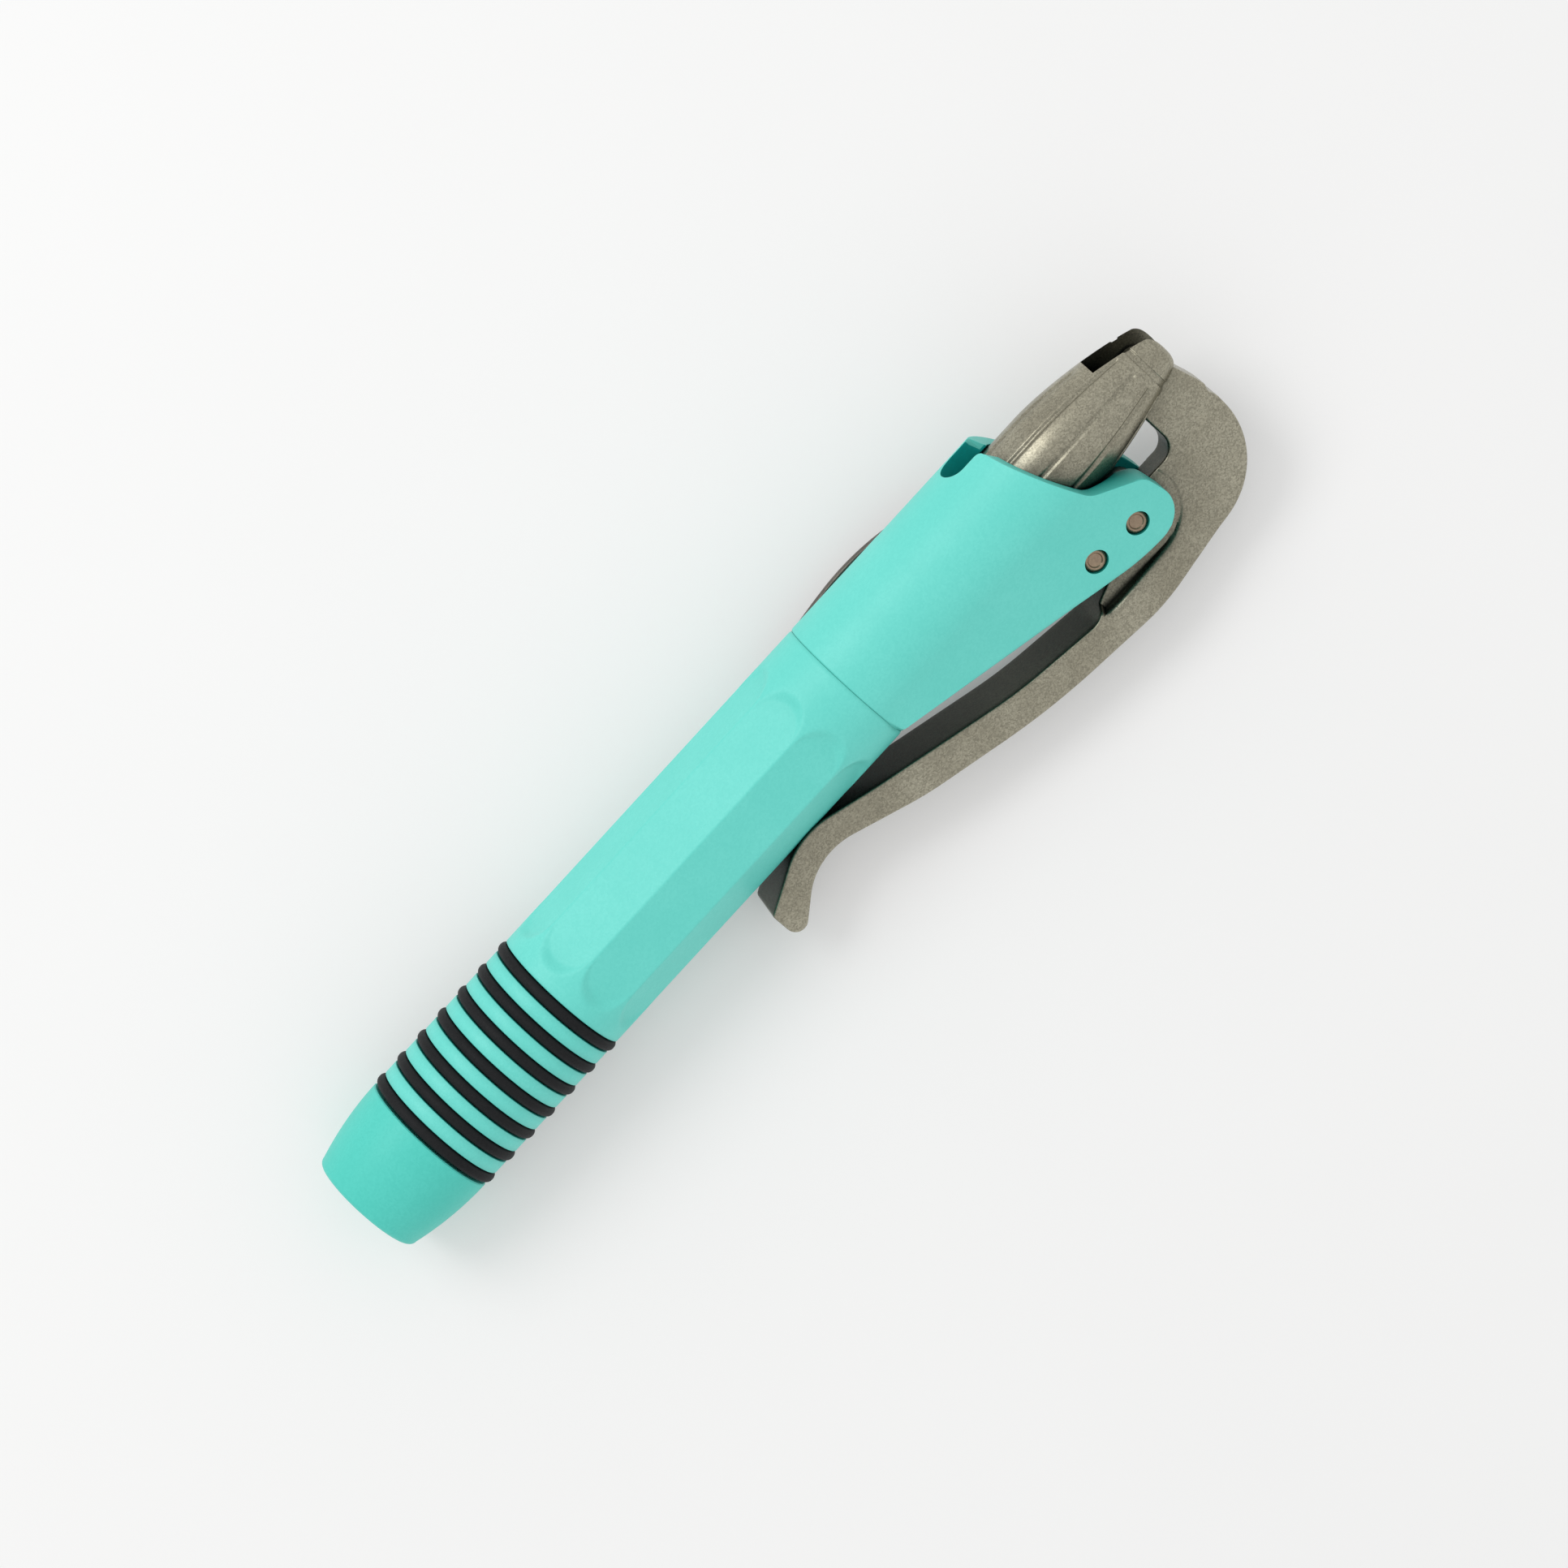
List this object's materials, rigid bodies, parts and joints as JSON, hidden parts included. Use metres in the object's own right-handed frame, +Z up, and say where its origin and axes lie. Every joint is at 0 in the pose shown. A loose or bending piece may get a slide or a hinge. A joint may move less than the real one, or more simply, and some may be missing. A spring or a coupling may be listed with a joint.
{
  "type": "hand grip strengthener",
  "caption": "Pocket hand trainer: coated round handle with rubber rings, pivoted metal lever and a spring-loaded fluted nose",
  "frame": {"origin": "on the table, under the middle of the part's box", "axes": "+Z up from the table; the handle runs along +X towards its nose, a little nose-up, and the lever leans to -Y and down, as the part rests by itself"},
  "size_m": [0.1886, 0.043, 0.03],
  "materials": {
    "teal_coating": "matte ceramic coating with a faint speckle",
    "blasted_metal": "bead-blasted grey-brown metal",
    "pin_steel": "turned pins with chamfered ends",
    "bronze": "plain bearing bronze",
    "black_rubber": "matte black"
  },
  "bodies": {
    "handle": {"end_cap": "teal_coating", "handle_tube": "teal_coating", "o_ring_1": "black_rubber", "o_ring_2": "black_rubber", "o_ring_3": "black_rubber", "o_ring_4": "black_rubber", "o_ring_5": "black_rubber", "o_ring_6": "black_rubber", "o_ring_7": "black_rubber", "head": "teal_coating", "spring_seat": "blasted_metal", "main_spring": "blasted_metal", "pivot_pin": "pin_steel", "stop_pin": "pin_steel", "pivot_washer_near": "bronze", "pivot_washer_far": "bronze", "carry_clip": "blasted_metal", "clip_screw_1": "blasted_metal", "clip_screw_2": "blasted_metal"},
    "lever": {"lever": "blasted_metal", "pivot_bush": "bronze"},
    "nose": {"nose": "blasted_metal", "push_rod": "blasted_metal", "rod_collar": "blasted_metal", "collar_nut": "blasted_metal"}
  },
  "joints": [
    {"name": "lever_pivot", "type": "hinge", "parent": "handle", "child": "lever", "pos_m": [0.07037, -0.00532, 0.01202], "axis": [-0.0373, -0.419, 0.9072], "range_deg": [0, 20], "stiffness_Nm_per_rad": 0.8, "springref_deg": -18.91},
    {"name": "nose_slide", "type": "slide", "parent": "handle", "child": "nose", "axis": [-0.9992, 0, -0.0411], "range_m": [0, 0.0064], "deforming": ["main_spring"]}
  ],
  "couplings": [
    {"joint": "nose_slide", "follows": "lever_pivot", "m_per_rad": 0.018}
  ]
}
